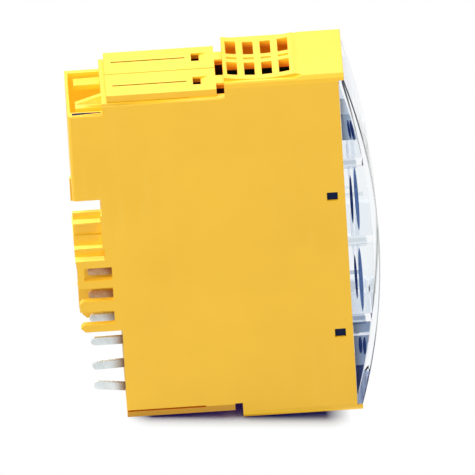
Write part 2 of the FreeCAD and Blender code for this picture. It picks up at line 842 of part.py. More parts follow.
def board_parts(name, side):
    half_chip = d.chip_side / 2
    chip_middle = on_length(d.chip_along)
    chip_x = (chip_middle - half_chip, chip_middle + half_chip)
    chip_level = on_height(d.chip_up)
    chip_levels = (chip_level - half_chip, chip_level + half_chip)
    chip = block(name + "_processor", chip_x, on_board(side, d.chip_thickness), chip_levels)
    node(chip, name + "_processor")

    driver_middle = on_length(d.driver_along)
    driver_x = (driver_middle - d.driver_length / 2, driver_middle + d.driver_length / 2)
    for number, share in enumerate((d.driver_low_up, d.driver_high_up), start=1):
        driver = "%s_output_driver_%d" % (name, number)
        level = on_height(share)
        case_levels = (level - d.driver_height / 2, level + d.driver_height / 2)
        tab_levels = (case_levels[1], case_levels[1] + d.driver_tab)
        case = block(driver + "_case", driver_x, on_board(side, d.driver_thickness), case_levels)
        tab = block(driver + "_tab", driver_x, on_board(side, d.driver_tab_thickness), tab_levels)
        node(fuse(driver, [case, tab]), driver)

    can_y = on_board(side, d.can_length)
    can_place = (on_length(d.can_along), can_y[0], on_height(d.can_up))
    can = rod(name + "_capacitor", d.can_diameter / 2, d.can_length, *can_place)
    node(can, name + "_capacitor")

    coil_middle = on_length(d.coil_along)
    coil_x = (coil_middle - d.coil_length / 2, coil_middle + d.coil_length / 2)
    coil_level = on_height(d.coil_up)
    coil_levels = (coil_level - d.coil_height / 2, coil_level + d.coil_height / 2)
    core_x = (coil_x[0] + d.coil_core, coil_x[1] - d.coil_core)
    core_levels = (coil_levels[0] - d.coil_core / 2, coil_levels[1] + d.coil_core / 2)
    winding_y = on_board(side, d.coil_thickness - d.coil_core / 2)
    winding = block(name + "_winding", coil_x, winding_y, coil_levels)
    core = block(name + "_core", core_x, on_board(side, d.coil_thickness), core_levels)
    node(fuse(name + "_transformer", [winding, core]), name + "_transformer")


def lamp_levels():
    return [middle_level + d.lamp_pitch * (index - (LAMPS - 1) / 2) for index in range(LAMPS)]


# Status lamps on the boards' front edges
def status_lamps():
    lamps = []
    lamp_x = (board_front - d.lamp_length, board_front)
    for side in (-1, 1):
        for level in lamp_levels():
            span = (level - d.lamp_height / 2, level + d.lamp_height / 2)
            lamps.append(block("lamp", lamp_x, on_board(side, d.lamp_thickness), span))
    node(group("status_leds", lamps), "status_leds")


def pipe_blocks(name, x, half):
    """Square blocks along x before each lamp, for the light pipes and the holes round them."""
    blocks = []
    for side in (-1, 1):
        y = across(side, lamp_middle - half, lamp_middle + half)
        for level in lamp_levels():
            blocks.append(block(name, x, y, (level - half, level + half)))
    return blocks


# Light guide: a bar before each board's lamps, tied at mid-height, with pipes through the panel
def light_guide():
    bar_x = (board_front + d.guide_bar_gap, panel_rear)
    bar_levels = (lamp_levels()[0] - d.guide_bar_margin, lamp_levels()[-1] + d.guide_bar_margin)
    half_bar = d.guide_bar_width / 2
    pipe_x = (panel_rear, panel_front + d.guide_pipe_proud)
    pieces = pipe_blocks("guide_pipe", pipe_x, d.guide_pipe_side / 2)
    for side in (-1, 1):
        bar_y = across(side, lamp_middle - half_bar, lamp_middle + half_bar)
        pieces.append(block("guide_bar", bar_x, bar_y, bar_levels))
    tie_level = middle_level + d.lamp_pitch / 2
    tie_levels = (tie_level - half_bar, tie_level + half_bar)
    pieces.append(block("guide_tie", bar_x, (-lamp_middle, lamp_middle), tie_levels))
    node(fuse("light_guide", pieces), "light_guide")


# Catches of the clear cover: the y range of their arms, inside the shells' side walls
def catch_arm(side):
    return across(side, inner_face - d.clearance - d.catch_arm, inner_face - d.clearance)


def catch_span(level, extra):
    half = d.catch_height / 2 + extra
    return (level - half, level + half)


# Dark panel behind the clear cover, notched round the catches and holed for the light pipes
def front_panel():
    half_width = inner_face - d.clearance
    levels = (d.wall + d.clearance, d.height - d.wall - d.clearance)
    plate = block("panel_plate", (panel_rear, panel_front), (-half_width, half_width), levels)
    through_x = (panel_rear - d.overrun, panel_front + d.overrun)
    tools = pipe_blocks("panel_hole", through_x, d.guide_pipe_side / 2 + d.clearance)
    for side in (-1, 1):
        notch_y = across(side, inner_face - d.catch_arm - d.clearance * 2, inner_face + d.overrun)
        for level in catch_levels:
            tools.append(block("panel_notch", through_x, notch_y, catch_span(level, d.clearance)))
    node(cut("front_panel", plate, tools), "front_panel")


# Blank label sheet between the panel and the cover's webs
def label_sheet():
    half_width = inner_face - d.label_margin
    levels = (d.wall + d.label_end, d.height - d.wall - d.label_end)
    plate = block("label_plate", (panel_front, front), (-half_width, half_width), levels)
    through_x = (panel_front - d.overrun, front + d.overrun)
    holes = pipe_blocks("label_hole", through_x, d.guide_pipe_side / 2 + d.clearance)
    node(cut("label_sheet", plate, holes), "label_sheet")


# Clip beside the label: a slender bar, pointed at both ends, on two feet
def label_clip(side, level, height):
    y = across(side, d.clip_inner, d.clip_inner + d.clip_thickness)
    half_height = height / 2
    half_width = d.clip_width / 2
    middle_x = panel_front + d.clip_stand + half_width
    radius = (half_height * half_height + half_width * half_width) / d.clip_width
    offset = radius - half_width
    faces = []
    for place in (-1, 1):
        faces.append(rod("clip_face", radius, d.clip_thickness, middle_x + offset * place, y[0], level))
    pieces = [common("clip_bar", faces[0], faces[1])]
    for place in (-1, 1):
        foot_level = level + (half_height - d.clip_foot_inset) * place
        foot_z = (foot_level - d.clip_foot / 2, foot_level + d.clip_foot / 2)
        pieces.append(block("clip_foot", (panel_front, middle_x), y, foot_z))
    return fuse("clip", pieces)


def label_clips():
    end_place = d.web_pitch + d.web_thickness / 2 + d.clip_web_gap
    clips = []
    for side in (-1, 1):
        for place in (-1, 1):
            clips.append(label_clip(side, middle_level + d.web_pitch / 2 * place, d.clip_height))
            clips.append(label_clip(side, middle_level + end_place * place, d.clip_short))
    node(group("label_clips", clips), "label_clips")


# Clear front cover: a bowed box with three cross webs, and catches that snap into the shells
def front_lens():
    levels = (d.wall + d.clearance, d.height - d.wall - d.clearance)
    width = d.unit_width * 2
    half_chord = middle_level - levels[0]
    bow = d.lens_bulge - d.lens_end
    lens_radius = (half_chord * half_chord + bow * bow) / (bow * 2)
    axis_x = d.depth - lens_radius
    outer_box = block("lens_outer_box", (front, d.depth), (-d.unit_width, d.unit_width), levels)
    outer_bow = rod("lens_outer_bow", lens_radius, width, axis_x, -d.unit_width, middle_level)
    outer = common("lens_outer", outer_box, outer_bow)
    half_web = d.web_thickness / 2
    lows = [levels[0] + d.lens_cap]
    highs = []
    for place in (-1, 0, 1):
        web = middle_level + d.web_pitch * place
        highs.append(web - half_web)
        lows.append(web + half_web)
    highs.append(levels[1] - d.lens_cap)
    half_inside = d.unit_width - d.lens_side
    room_x = (front - d.overrun, d.depth)
    rooms = []
    for low, high in zip(lows, highs):
        rooms.append(block("lens_room", room_x, (-half_inside, half_inside), (low, high)))
    inner_radius = lens_radius - d.lens_wall
    inner_bow = rod("lens_inner_bow", inner_radius, width, axis_x, -d.unit_width, middle_level)
    pieces = [cut("lens_bow", outer, [common("lens_rooms", fuse("lens_room_set", rooms), inner_bow)])]
    catch_rear = front - d.catch_setback + d.clearance
    catch_front = catch_rear + d.catch_length - d.clearance * 2
    foot_front = front + d.catch_foot
    for side in (-1, 1):
        arm_y = catch_arm(side)
        foot_y = across(side, inner_face - d.clearance - d.catch_arm, d.unit_width - d.lens_side / 2)
        nub_y = across(side, inner_face - d.clearance * 2, d.unit_width - d.catch_sink)
        for level in catch_levels:
            span = catch_span(level, zero)
            pieces.append(block("catch_arm", (catch_rear, foot_front), arm_y, span))
            pieces.append(block("catch_foot", (front, foot_front), foot_y, span))
            nub_span = catch_span(level, -d.clearance)
            pieces.append(block("catch_nub", (catch_rear, catch_front), nub_y, nub_span))
    node(fuse("front_lens", pieces), "front_lens")


for side_name, side_sign in (("near", -1), ("far", 1)):
    shell(side_name + "_shell", side_sign)
    board(side_name + "_board", side_sign)
    carrier(side_name + "_contact_carrier", side_sign)
    for number in range(BLADES):
        bent = BLADE_BENDS[number] if side_sign < 0 else 0
        blade("%s_blade_%d" % (side_name, number + 1), side_sign, number, bent)
    board_parts(side_name, side_sign)
bus_connector()
board_link()
status_lamps()
light_guide()
front_panel()
label_sheet()
label_clips()
front_lens()
doc.recompute()

# Checks before anything is written
for item in doc.Objects:
    if "Invalid" in item.State or "Error" in item.State:
        raise RuntimeError("%s did not build: %s" % (item.Label, item.State))
for item in nodes:
    if item.Shape.isNull() or not item.Shape.isValid() or not item.Shape.Solids:
        raise RuntimeError("%s has no valid solid" % item.Label)

os.makedirs("parts", exist_ok=True)
for item in nodes:
    item.Shape.exportStep(os.path.join("parts", item.Label + ".step"))
    print("%s: %d solid(s), %.1f mm3" % (item.Label, len(item.Shape.Solids), item.Shape.Volume))
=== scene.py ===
import json
import math
import bmesh
import bpy
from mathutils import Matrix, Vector


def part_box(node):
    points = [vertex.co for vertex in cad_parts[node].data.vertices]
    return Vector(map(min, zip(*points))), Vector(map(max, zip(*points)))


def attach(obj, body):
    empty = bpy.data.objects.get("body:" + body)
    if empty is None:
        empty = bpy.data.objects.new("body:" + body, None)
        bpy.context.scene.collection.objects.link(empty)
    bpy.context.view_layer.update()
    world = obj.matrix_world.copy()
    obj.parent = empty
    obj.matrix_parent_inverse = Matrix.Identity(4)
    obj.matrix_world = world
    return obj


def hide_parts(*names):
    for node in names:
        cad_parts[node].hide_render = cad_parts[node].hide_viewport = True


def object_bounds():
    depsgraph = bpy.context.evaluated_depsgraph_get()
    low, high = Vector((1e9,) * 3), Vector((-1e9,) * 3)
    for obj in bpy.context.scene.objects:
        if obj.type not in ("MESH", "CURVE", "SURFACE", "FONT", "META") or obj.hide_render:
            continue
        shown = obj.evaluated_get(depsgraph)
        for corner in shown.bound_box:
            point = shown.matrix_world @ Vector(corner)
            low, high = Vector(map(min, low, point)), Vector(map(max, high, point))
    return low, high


# Yellow safe output module on a white table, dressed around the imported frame.
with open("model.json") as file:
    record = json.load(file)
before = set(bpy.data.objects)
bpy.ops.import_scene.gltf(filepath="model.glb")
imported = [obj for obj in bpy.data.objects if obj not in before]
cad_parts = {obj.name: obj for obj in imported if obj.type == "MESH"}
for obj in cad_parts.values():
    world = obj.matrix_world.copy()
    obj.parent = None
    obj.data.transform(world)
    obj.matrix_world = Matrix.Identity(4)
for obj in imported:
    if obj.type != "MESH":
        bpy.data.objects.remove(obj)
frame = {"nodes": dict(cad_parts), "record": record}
cadLow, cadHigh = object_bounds()
nodes = frame["nodes"]
slotOf = {part["node"]: part["material_slot"] for part in frame["record"]["subparts"]}
scene = bpy.context.scene
scene.view_settings.view_transform = "Standard"
mm = 0.001
noLight = (0.0, 0.0, 0.0)
fullLight = (1.0, 1.0, 1.0)
print("frame loaded:", len(nodes), "nodes")


# Node trees: a mix node keeps its colour sockets at these places
mixPlace = {"factor": 0, "first": 6, "second": 7, "result": 2}
noiseRoughness = 0.55


def newGroup(name, inputs, outputs):
    tree = bpy.data.node_groups.new(name, "ShaderNodeTree")
    for label, value in inputs.items():
        socket = tree.interface.new_socket(label, in_out="INPUT", socket_type="NodeSocketFloat")
        socket.default_value = value
    for label in outputs:
        tree.interface.new_socket(label, in_out="OUTPUT", socket_type="NodeSocketFloat")
    return tree, tree.nodes.new("NodeGroupInput"), tree.nodes.new("NodeGroupOutput")


def addNode(tree, kind, **values):
    node = tree.nodes.new(kind)
    for name, value in values.items():
        setattr(node, name, value)
    return node


def feed(tree, socket, value):
    if isinstance(value, bpy.types.NodeSocket):
        tree.links.new(value, socket)
    else:
        socket.default_value = value


def objectPlace(tree):
    return addNode(tree, "ShaderNodeTexCoord").outputs["Object"]


def axisOf(tree, place, axis):
    parts = addNode(tree, "ShaderNodeSeparateXYZ")
    tree.links.new(place, parts.inputs["Vector"])
    return parts.outputs[axis]


def noiseNode(tree, place, scale, detail):
    noise = addNode(tree, "ShaderNodeTexNoise")
    noise.inputs["Detail"].default_value = detail
    noise.inputs["Roughness"].default_value = noiseRoughness
    tree.links.new(place, noise.inputs["Vector"])
    tree.links.new(scale, noise.inputs["Scale"])
    return noise.outputs["Fac"]


def ranged(tree, value, low, high, outLow=0.0, outHigh=1.0):
    span = addNode(tree, "ShaderNodeMapRange")
    for label, source in (("Value", value), ("From Min", low), ("From Max", high),
                          ("To Min", outLow), ("To Max", outHigh)):
        feed(tree, span.inputs[label], source)
    return span.outputs["Result"]


def computed(tree, operation, first, second, clamped=False):
    node = addNode(tree, "ShaderNodeMath", operation=operation, use_clamp=clamped)
    feed(tree, node.inputs[0], first)
    feed(tree, node.inputs[1], second)
    return node.outputs["Value"]


def blendColour(tree, factor, first, second):
    mix = addNode(tree, "ShaderNodeMix", data_type="RGBA")
    tree.links.new(factor, mix.inputs[mixPlace["factor"]])
    for place, colour in (("first", first), ("second", second)):
        feed(tree, mix.inputs[mixPlace[place]], (*colour, 1.0) if isinstance(colour, tuple) else colour)
    return mix.outputs[mixPlace["result"]]


def mixedShader(tree, factor, first, second):
    mix = addNode(tree, "ShaderNodeMixShader")
    for socket, source in zip(mix.inputs, (factor, first, second)):
        tree.links.new(source, socket)
    return mix.outputs["Shader"]


# Spark-eroded mould texture: fine height and a slow drift of tone
grainSpec = {"sockets": {"Grain": 4000.0, "Drift": 40.0}, "fineDetail": 3.0, "slowDetail": 2.0,
             "shift": (0.3, 0.7)}


def mouldGrainGroup():
    tree, start, end = newGroup("mouldGrain", grainSpec["sockets"], ("Height", "Shift"))
    place = objectPlace(tree)
    fine = noiseNode(tree, place, start.outputs["Grain"], grainSpec["fineDetail"])
    slow = noiseNode(tree, place, start.outputs["Drift"], grainSpec["slowDetail"])
    tree.links.new(fine, end.inputs["Height"])
    tree.links.new(ranged(tree, slow, *grainSpec["shift"]), end.inputs["Shift"])
    return tree


# Faint rubs and finger marks: long thin streaks in patches
rubSpec = {"sockets": {"Streaks": 260.0, "Patches": 45.0}, "turn": (0.3, 0.7, 0.2),
           "stretch": (1.0, 1.0, 0.12), "streakDetail": 4.0, "patchDetail": 2.0,
           "streak": (0.52, 0.7), "patch": (0.45, 0.65)}


def rubMarksGroup():
    tree, start, end = newGroup("rubMarks", rubSpec["sockets"], ("Mask",))
    place = objectPlace(tree)
    turn = addNode(tree, "ShaderNodeMapping")
    turn.inputs["Rotation"].default_value = rubSpec["turn"]
    turn.inputs["Scale"].default_value = rubSpec["stretch"]
    tree.links.new(place, turn.inputs["Vector"])
    streak = noiseNode(tree, turn.outputs["Vector"], start.outputs["Streaks"], rubSpec["streakDetail"])
    patch = noiseNode(tree, place, start.outputs["Patches"], rubSpec["patchDetail"])
    both = computed(tree, "MULTIPLY", ranged(tree, streak, *rubSpec["streak"]),
                    ranged(tree, patch, *rubSpec["patch"]))
    tree.links.new(both, end.inputs["Mask"])
    return tree


# Drawing lines along x on the contact metal
drawnSpec = {"sockets": {"Lines": 5000.0, "Drift": 300.0}, "stretch": (0.04, 1.0, 1.0),
             "lineDetail": 2.0, "slowDetail": 3.0, "shift": (0.35, 0.65)}


def drawnMetalGroup():
    tree, start, end = newGroup("drawnMetal", drawnSpec["sockets"], ("Height", "Shift"))
    place = objectPlace(tree)
    stretch = addNode(tree, "ShaderNodeMapping")
    stretch.inputs["Scale"].default_value = drawnSpec["stretch"]
    tree.links.new(place, stretch.inputs["Vector"])
    lines = noiseNode(tree, stretch.outputs["Vector"], start.outputs["Lines"], drawnSpec["lineDetail"])
    slow = noiseNode(tree, place, start.outputs["Drift"], drawnSpec["slowDetail"])
    tree.links.new(lines, end.inputs["Height"])
    tree.links.new(ranged(tree, slow, *drawnSpec["shift"]), end.inputs["Shift"])
    return tree


# How open a spot is: crevices in coloured plastic take a painted deeper shade and a painted glow for light
# that bounced there
creviceSpec = {"sockets": {"Reach": 6.0 * mm, "Shut": 0.08, "Clear": 0.6}, "samples": 8}


def paintedShadeGroup():
    tree, start, end = newGroup("crevicePaintedShade", creviceSpec["sockets"], ("Open",))
    around = addNode(tree, "ShaderNodeAmbientOcclusion", samples=creviceSpec["samples"])
    tree.links.new(start.outputs["Reach"], around.inputs["Distance"])
    opened = ranged(tree, around.outputs["AO"], start.outputs["Shut"], start.outputs["Clear"])
    tree.links.new(opened, end.inputs["Open"])
    return tree


crevicePaintedShade = paintedShadeGroup()
mouldGrain = mouldGrainGroup()
rubMarks = rubMarksGroup()
drawnMetal = drawnMetalGroup()


# Materials
bumpDepth = {"grain": 0.02 * mm, "lines": 0.01 * mm}
metalPaintedShade = {"Reach": 5.0 * mm, "Shut": 0.52, "Clear": 0.86}
bandSpan = (0.0, 100.0 * mm)


def newMaterial(name):
    material = bpy.data.materials.new(name)
    material.use_nodes = True
    tree = material.node_tree
    return material, tree, tree.nodes["Principled BSDF"]


def placeGroup(tree, group, values):
    node = addNode(tree, "ShaderNodeGroup", node_tree=group)
    for label, number in values.items():
        node.inputs[label].default_value = number
    return node


def addBump(tree, shader, height, strength, depth):
    bump = addNode(tree, "ShaderNodeBump")
    bump.inputs["Strength"].default_value = strength
    bump.inputs["Distance"].default_value = depth
    tree.links.new(height, bump.inputs["Height"])
    tree.links.new(bump.outputs["Normal"], shader.inputs["Normal"])


def mouldedPlastic(name, look):
    material, tree, shader = newMaterial(name)
    grain = placeGroup(tree, mouldGrain, {"Grain": look["grain"], "Drift": look["drift"]})
    rubs = placeGroup(tree, rubMarks, {"Streaks": look["streaks"], "Patches": look["patches"]})
    tone = blendColour(tree, grain.outputs["Shift"], look["colour"], look["deep"])
    rubbed = computed(tree, "MULTIPLY", rubs.outputs["Mask"], look["rub"])
    tone = blendColour(tree, rubbed, tone, look["pale"])
    # Painted shade that deepens downwards below the given level
    if "sink" in look:
        level = axisOf(tree, objectPlace(tree), "Z")
        depth = ranged(tree, level, look["sinkTo"], look["sinkFrom"], 1.0, 0.0)
        tone = blendColour(tree, depth, tone, look["sink"])
    # Painted shade in crevices, with a painted glow where bounced light would gather
    if "crevicePaintedShade" in look:
        opened = placeGroup(tree, crevicePaintedShade, {"Reach": look["creviceReach"]}).outputs["Open"]
        cleared = computed(tree, "POWER", opened, look["creviceFall"])
        tone = blendColour(tree, cleared, look["crevicePaintedShade"], tone)
        bounced = computed(tree, "MULTIPLY", opened, computed(tree, "SUBTRACT", 1.0, opened))
        bounce = blendColour(tree, opened, look["glowDeep"], look["glow"])
        tree.links.new(blendColour(tree, bounced, noLight, bounce), shader.inputs["Emission Color"])
        shader.inputs["Emission Strength"].default_value = look["glowStrength"]
    # A constant painted glow
    if "paintedGlow" in look:
        shader.inputs["Emission Color"].default_value = (*look["paintedGlow"], 1.0)
        shader.inputs["Emission Strength"].default_value = 1.0
    tree.links.new(tone, shader.inputs["Base Color"])
    shader.inputs["Specular IOR Level"].default_value = look["specular"]
    rough = ranged(tree, grain.outputs["Shift"], 0.0, 1.0, *look["rough"])
    tree.links.new(rough, shader.inputs["Roughness"])
    addBump(tree, shader, grain.outputs["Height"], look["bump"], bumpDepth["grain"])
    return material


def platedMetal(name, look):
    material, tree, shader = newMaterial(name)
    drawn = placeGroup(tree, drawnMetal, {"Lines": look["lines"], "Drift": look["drift"]})
    tone = blendColour(tree, drawn.outputs["Shift"], look["colour"], look["deep"])
    # Painted shade in the metal's crevices
    opened = placeGroup(tree, crevicePaintedShade, metalPaintedShade).outputs["Open"]
    tree.links.new(blendColour(tree, opened, look["crevicePaintedShade"], tone), shader.inputs["Base Color"])
    shader.inputs["Metallic"].default_value = 1.0
    rough = ranged(tree, drawn.outputs["Shift"], 0.0, 1.0, *look["rough"])
    tree.links.new(rough, shader.inputs["Roughness"])
    addBump(tree, shader, drawn.outputs["Height"], look["bump"], bumpDepth["lines"])
    return material


def clearPlastic(name, look):
    material, tree, shader = newMaterial(name)
    rubs = placeGroup(tree, rubMarks, {"Streaks": look["streaks"], "Patches": look["patches"]})
    shader.inputs["Base Color"].default_value = (*look["colour"], 1.0)
    shader.inputs["Transmission Weight"].default_value = 1.0
    shader.inputs["IOR"].default_value = look["bend"]
    shader.inputs["Specular Tint"].default_value = (*look["sheen"], 1.0)
    rough = ranged(tree, rubs.outputs["Mask"], 0.0, 1.0, *look["rough"])
    tree.links.new(rough, shader.inputs["Roughness"])
    path = addNode(tree, "ShaderNodeLightPath")
    through = addNode(tree, "ShaderNodeBsdfTransparent")
    through.inputs["Color"].default_value = (*look["shade"], 1.0)
    seen = mixedShader(tree, path.outputs["Is Shadow Ray"], shader.outputs["BSDF"], through.outputs["BSDF"])
    tree.links.new(seen, tree.nodes["Material Output"].inputs["Surface"])
    return material


# Clear plastic with a painted tint that changes with height, standing in for the dark room that the cover's
# edge bends into view near its ends
def paintedRefractionPlastic(name, look):
    material = clearPlastic(name, look)
    tree = material.node_tree
    ramp = addNode(tree, "ShaderNodeValToRGB")
    level = axisOf(tree, objectPlace(tree), "Z")
    tree.links.new(ranged(tree, level, *bandSpan), ramp.inputs["Fac"])
    stops = ramp.color_ramp.elements
    stops.remove(stops[1])
    (stops[0].position, firstColour), *others = look["bands"]
    stops[0].color = (*firstColour, 1.0)
    for place, colour in others:
        stops.new(place).color = (*colour, 1.0)
    tree.links.new(ramp.outputs["Color"], tree.nodes["Principled BSDF"].inputs["Base Color"])
    return material


def plasticLook(colour, deep, pale, rough, grain=4200.0, bump=0.1, specular=0.5):
    return {"colour": colour, "deep": deep, "pale": pale, "rough": rough, "grain": grain, "drift": 42.0,
            "streaks": 260.0, "patches": 45.0, "bump": bump, "rub": 0.12, "specular": specular}


yellowLook = plasticLook((0.87, 0.50, 0.009), (0.825, 0.465, 0.007), (0.92, 0.60, 0.08), (0.44, 0.54))
clearLook = {"colour": (0.93, 0.95, 0.965), "bend": 1.22, "rough": (0.015, 0.09),
             "shade": (0.86, 0.89, 0.94), "sheen": (0.25, 0.30, 0.45), "streaks": 240.0, "patches": 60.0}

# Finishes of the material slots
finishes = {
    # The housing's yellow takes painted shade in its crevices and a painted glow for light bounced there
    "housing_yellow": mouldedPlastic("yellowHousing", {
        **yellowLook, "specular": 0.7, "crevicePaintedShade": (0.42, 0.155, 0.004), "creviceReach": 6.0 * mm,
        "creviceFall": 0.35, "glowDeep": (0.7, 0.10, 0.002), "glow": (1.2, 1.0, 0.02),
        "glowStrength": 1.2}),
    "carrier_grey": mouldedPlastic("greyCarrier", plasticLook(
        (0.060, 0.060, 0.066), (0.045, 0.045, 0.05), (0.12, 0.12, 0.12), (0.5, 0.6))),
    "panel_navy": mouldedPlastic("navyPanel", plasticLook(
        (0.017, 0.030, 0.150), (0.012, 0.021, 0.11), (0.05, 0.07, 0.22), (0.35, 0.5))),
    "chip_black": mouldedPlastic("chipResin", plasticLook(
        (0.030, 0.030, 0.034), (0.022, 0.022, 0.025), (0.08, 0.08, 0.08), (0.45, 0.6), grain=9000.0)),
    "board_green": mouldedPlastic("solderMask", plasticLook(
        (0.005, 0.030, 0.018), (0.004, 0.022, 0.013), (0.02, 0.07, 0.045), (0.3, 0.42),
        grain=1500.0, bump=0.05)),
    "coil_amber": mouldedPlastic("coilTape", plasticLook(
        (0.50, 0.28, 0.05), (0.42, 0.22, 0.035), (0.6, 0.4, 0.12), (0.3, 0.42), grain=1200.0)),
    "lamp_white": mouldedPlastic("lampResin", plasticLook(
        (0.86, 0.86, 0.82), (0.80, 0.80, 0.75), (0.9, 0.9, 0.88), (0.2, 0.3), grain=2500.0, bump=0.03)),
    "label_white": mouldedPlastic("labelFilm", plasticLook(
        (0.84, 0.86, 0.88), (0.80, 0.82, 0.85), (0.9, 0.9, 0.9), (0.45, 0.6), grain=7000.0, bump=0.04)),
    # The metals' crevice colours are painted shade, tinted like reflected yellow
    "contact_silver": platedMetal("tinPlate", {
        "colour": (0.92, 0.95, 0.93), "deep": (0.79, 0.84, 0.82), "rough": (0.26, 0.42),
        "crevicePaintedShade": (0.32, 0.17, 0.08), "lines": 5200.0, "drift": 420.0, "bump": 0.25}),
    "contact_gold": platedMetal("goldFlash", {
        "colour": (0.86, 0.63, 0.26), "deep": (0.78, 0.54, 0.2), "rough": (0.22, 0.36),
        "crevicePaintedShade": (0.40, 0.24, 0.14), "lines": 5200.0, "drift": 420.0, "bump": 0.2}),
    "can_metal": platedMetal("drawnCan", {
        "colour": (0.72, 0.73, 0.75), "deep": (0.64, 0.65, 0.67), "rough": (0.25, 0.38),
        "crevicePaintedShade": (0.40, 0.24, 0.14), "lines": 3000.0, "drift": 300.0, "bump": 0.2}),
    "clear_front": clearPlastic("clearCover", clearLook),
    "clear_guide": clearPlastic("clearGuide", {**clearLook, "bend": 1.49, "sheen": (1.0, 1.0, 1.0)}),
}

# Painted light and shade within the housing: a deeper painted tone where light bounced in the yellow,
# painted light where it gathers
insidePaintedShade = mouldedPlastic("insidePaintedShade", {
    **yellowLook, "colour": (0.80, 0.28, 0.010), "deep": (0.74, 0.24, 0.008), "pale": (0.84, 0.36, 0.03),
    "paintedGlow": (0.26, 0.055, 0.001)})
holePaintedShade = mouldedPlastic("holePaintedShade", {**plasticLook(
    (0.55, 0.19, 0.005), (0.48, 0.16, 0.004), (0.6, 0.24, 0.01), (0.5, 0.6), specular=0.15),
    "paintedGlow": (0.09, 0.022, 0.001)})
holePaintedDark = mouldedPlastic("holePaintedDark", plasticLook(
    (0.020, 0.006, 0.012), (0.016, 0.004, 0.010), (0.03, 0.01, 0.02), (0.5, 0.6), specular=0.1))
ventPaintedShadeAndGlow = mouldedPlastic("ventPaintedShadeAndGlow", {
    **yellowLook, "colour": (0.95, 0.62, 0.02), "deep": (0.92, 0.58, 0.015), "paintedGlow": (0.20, 0.055, 0.002),
    "sink": (0.55, 0.075, 0.001), "sinkFrom": 98.6 * mm, "sinkTo": 96.7 * mm})
ledgePaintedLight = mouldedPlastic("ledgePaintedLight", {
    **yellowLook, "colour": (0.93, 0.68, 0.10), "deep": (0.90, 0.64, 0.08), "paintedGlow": (0.42, 0.36, 0.08)})
sillPaintedLight = mouldedPlastic("sillPaintedLight", {**yellowLook, "paintedGlow": (0.12, 0.085, 0.014)})
hookPaintedGlow = mouldedPlastic("hookPaintedGlow", {
    **yellowLook, "colour": (0.87, 0.52, 0.012), "deep": (0.83, 0.49, 0.010),
    "paintedGlow": (0.32, 0.165, 0.010)})
groovePaintedShade = mouldedPlastic("groovePaintedShade", plasticLook(
    (0.32, 0.22, 0.006), (0.28, 0.19, 0.005), (0.38, 0.28, 0.02), (0.5, 0.6), specular=0.1))
tongueShade = mouldedPlastic("tongueShade", {
    **yellowLook, "colour": (0.56, 0.27, 0.007), "deep": (0.52, 0.25, 0.006), "pale": (0.6, 0.32, 0.03)})
# Plate with a painted reflection of the yellow guard
guardPaintedReflection = platedMetal("guardPaintedReflection", {
    "colour": (0.84, 0.60, 0.39), "deep": (0.62, 0.43, 0.27), "rough": (0.26, 0.42),
    "crevicePaintedShade": (0.40, 0.19, 0.075), "lines": 5200.0, "drift": 420.0, "bump": 0.25})

# Painted tones of the clear cover and of the sheets behind its side walls: painted refraction and shade,
# with a painted glow on the sheets' insides
rimPaintedRefraction = paintedRefractionPlastic("clearRimPaintedRefraction", {**clearLook, "bend": 1.1, "bands": (
    (0.06, (0.05, 0.065, 0.11)), (0.20, (0.05, 0.06, 0.09)), (0.28, (0.5, 0.52, 0.52)),
    (0.70, (0.5, 0.52, 0.52)), (0.82, (0.02, 0.026, 0.03)), (0.88, (0.01, 0.014, 0.02)),
    (0.94, (0.0005, 0.001, 0.004)))})
webPaintedBands = paintedRefractionPlastic("clearWebPaintedBands", {**clearLook, "bands": (
    (0.266, (0.27, 0.33, 0.45)), (0.495, (0.63, 0.71, 0.76)), (0.724, (0.52, 0.59, 0.67)))})
toePaintedRefraction = mouldedPlastic("toePaintedRefraction", plasticLook(
    (0.55, 0.65, 0.90), (0.48, 0.58, 0.84), (0.6, 0.7, 0.92), (0.4, 0.5)))
catchPaintedShade = mouldedPlastic("catchPaintedShade", plasticLook(
    (0.005, 0.014, 0.06), (0.003, 0.009, 0.04), (0.01, 0.02, 0.08), (0.5, 0.6), specular=0.08))
refractionNavy = mouldedPlastic("refractionNavy", plasticLook(
    (0.008, 0.026, 0.130), (0.006, 0.020, 0.11), (0.02, 0.04, 0.16), (0.35, 0.5), specular=0.1))
refractionBlue = mouldedPlastic("refractionBlue", plasticLook(
    (0.085, 0.150, 0.330), (0.075, 0.135, 0.30), (0.12, 0.19, 0.37), (0.35, 0.5), specular=0.1))
paintedShadeDeep = mouldedPlastic("paintedShadeDeep", plasticLook(
    (0.035, 0.052, 0.165), (0.030, 0.045, 0.15), (0.06, 0.08, 0.2), (0.35, 0.5), specular=0.1))
sheetInsidePaintedGlow = mouldedPlastic("sheetInsidePaintedGlow", {**plasticLook(
    (0.84, 0.86, 0.88), (0.80, 0.82, 0.85), (0.9, 0.9, 0.9), (0.45, 0.6)), "paintedGlow": (0.36, 0.38, 0.40)})
paintedShadeHaze = mouldedPlastic("paintedShadeHaze", plasticLook(
    (0.58, 0.64, 0.71), (0.54, 0.60, 0.68), (0.64, 0.70, 0.76), (0.4, 0.5)))
paintedShadeGrey = mouldedPlastic("paintedShadeGrey", plasticLook(
    (0.33, 0.41, 0.51), (0.30, 0.38, 0.48), (0.4, 0.47, 0.56), (0.4, 0.5)))
paintedShadeSlate = mouldedPlastic("paintedShadeSlate", plasticLook(
    (0.25, 0.31, 0.43), (0.22, 0.28, 0.40), (0.3, 0.36, 0.48), (0.4, 0.5)))
print("materials made:", len(bpy.data.materials))


# An edge is rounded where its corners are plain ones: three edges, none short and none nearly in line
bevel = {"cornerEdges": 3, "armPerRadius": 4, "narrowest": 35.0, "profile": 0.5, "normalWeight": 100,
         "weld": 0.0005 * mm, "cutWeld": 0.001 * mm}


